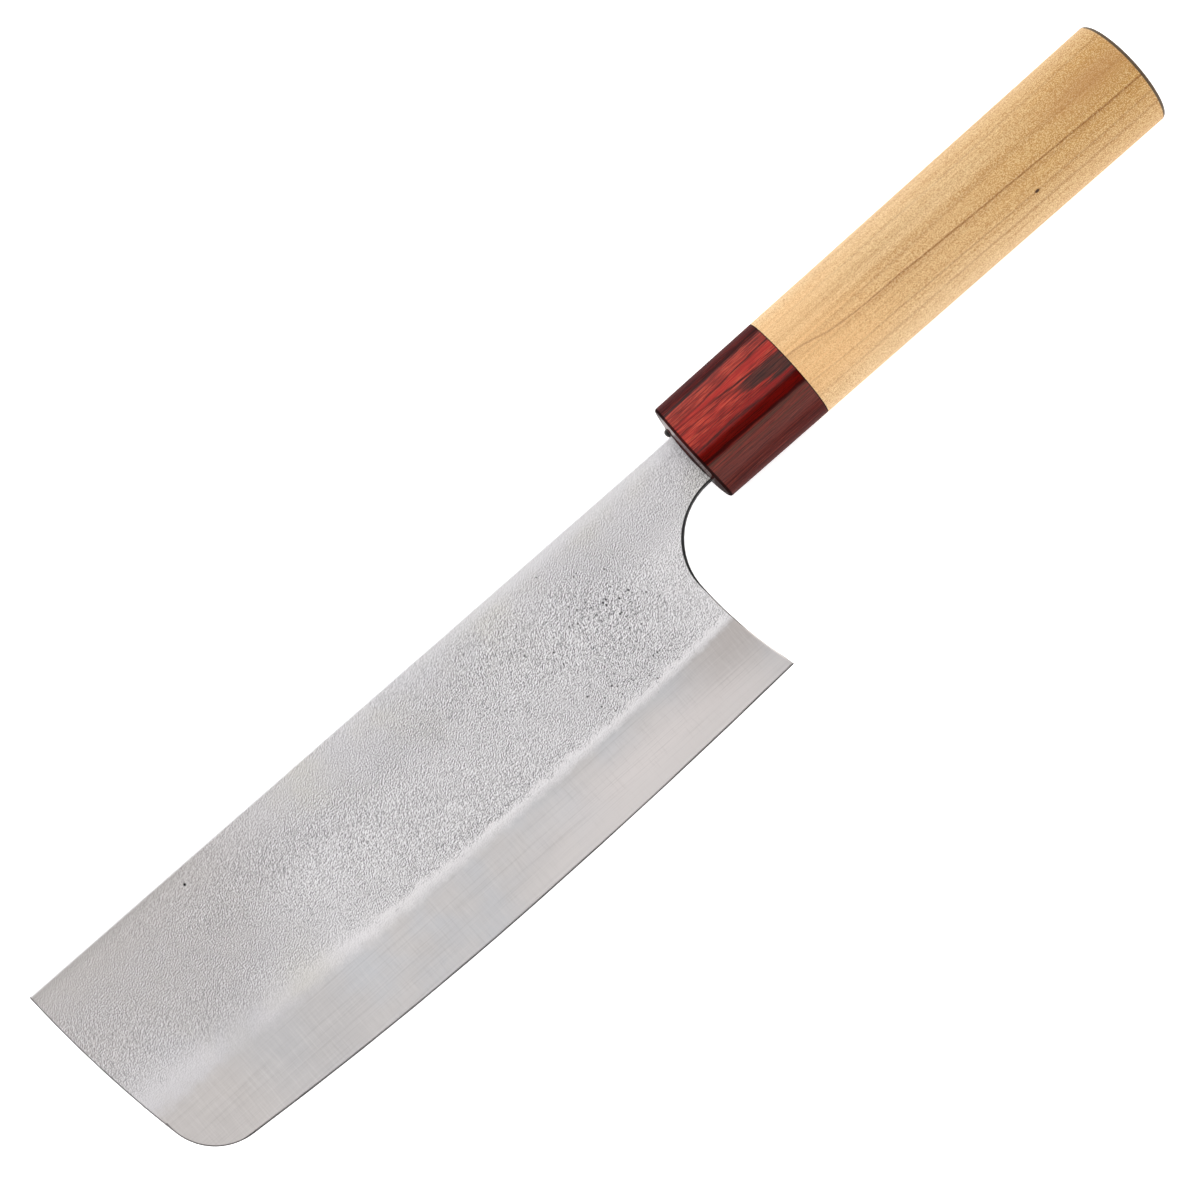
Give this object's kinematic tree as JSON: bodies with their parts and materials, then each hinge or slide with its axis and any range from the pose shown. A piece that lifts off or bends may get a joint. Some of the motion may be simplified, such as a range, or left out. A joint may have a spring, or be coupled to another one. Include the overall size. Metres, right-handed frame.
{
  "type": "nakiri knife",
  "caption": "Straight-edged vegetable knife: tall rectangular laminated blade with a rounded toe and heel cut-out, dark ferrule and oval wooden handle.",
  "frame": {"origin": "middle of the bounding box, at its bottom: the knife lies level on its right side and the table meets the handle here", "axes": "+X from the blade's tip to the butt of the handle, +Y from the cutting edge to the spine, +Z out of the blade's left side"},
  "size_m": [0.2985, 0.0612, 0.0187],
  "materials": {
    "core_steel": "fine ground, honed at the edge",
    "cladding": "pear-skin pitted above a satin ground bevel",
    "dyed_wood": "resin-filled dyed laminated wood, polished",
    "pale_wood": "fine sanded, open pored, unvarnished",
    "bedding_resin": "cast in place, not seen",
    "seal_resin": "glossy black"
  },
  "bodies": {
    "root": {"core_steel": "core_steel", "left_cladding": "cladding", "right_cladding": "cladding", "ferrule": "dyed_wood", "grip": "pale_wood", "tang_bedding": "bedding_resin", "mouth_seal": "seal_resin"}
  },
  "joints": []
}
